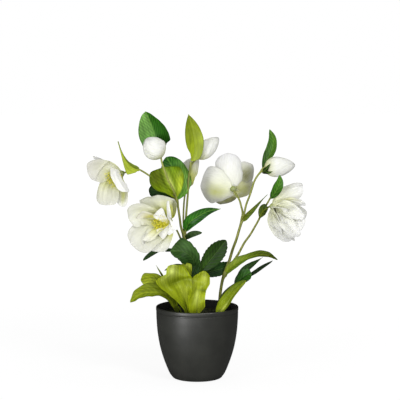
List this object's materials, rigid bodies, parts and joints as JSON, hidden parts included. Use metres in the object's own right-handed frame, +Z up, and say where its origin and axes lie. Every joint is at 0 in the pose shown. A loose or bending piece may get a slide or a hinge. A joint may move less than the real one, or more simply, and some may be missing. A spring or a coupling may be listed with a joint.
{
  "type": "hellebore plant",
  "caption": "White hellebore in flower in a round black pot, with open blooms, closed buds, forked stems and broad leaves.",
  "frame": {"origin": "middle of the pot's flat bottom", "axes": "+Z up along the pot's axis, the plant's front looks along -Y, +X to the viewer's right"},
  "size_m": [0.3034, 0.1324, 0.3734],
  "materials": {
    "pot": "matte",
    "soil": "matte",
    "stem": "satin",
    "light_leaf": "satin",
    "olive_leaf": "satin",
    "green_leaf": "satin",
    "dark_leaf": "satin",
    "petal": "matte",
    "stamen": "matte",
    "bud": "matte"
  },
  "bodies": {
    "root": {"pot": "pot", "soil": "soil", "stems_left": "stem", "stems_right": "stem", "leaf_behind_round_bud": "green_leaf", "leaf_top_middle": "light_leaf", "leaf_by_right_bud": "green_leaf", "leaf_above_right_bloom": "green_leaf", "bract_on_left_stalk": "light_leaf", "leaf_front_of_fork": "olive_leaf", "leaf_behind_fork": "green_leaf", "leaf_low_left_of_fork": "dark_leaf", "bract_at_right_fork": "olive_leaf", "bract_under_right_bloom": "olive_leaf", "leaf_right_of_left_fork": "green_leaf", "small_leaf_at_left_fork": "dark_leaf", "arching_leaf_right": "olive_leaf", "dark_leaf_middle": "dark_leaf", "dark_leaf_right": "dark_leaf", "light_leaf_front_left": "light_leaf", "light_leaf_front_right": "light_leaf", "olive_leaf_left_high": "olive_leaf", "olive_leaf_left_low": "olive_leaf", "narrow_leaf_left": "light_leaf", "light_leaf_right": "light_leaf", "bloom_left_petals": "petal", "bloom_left_stamens": "stamen", "bloom_middle_left_petals": "petal", "bloom_middle_left_stamens": "stamen", "bloom_right_of_middle_petals": "petal", "bloom_right_of_middle_stamens": "stamen", "bloom_right_petals": "petal", "bloom_right_stamens": "stamen", "bloom_behind_middle_petals": "petal", "bloom_behind_middle_stamens": "stamen", "bud_round": "bud", "bud_middle": "bud", "bud_right": "bud"}
  },
  "joints": []
}
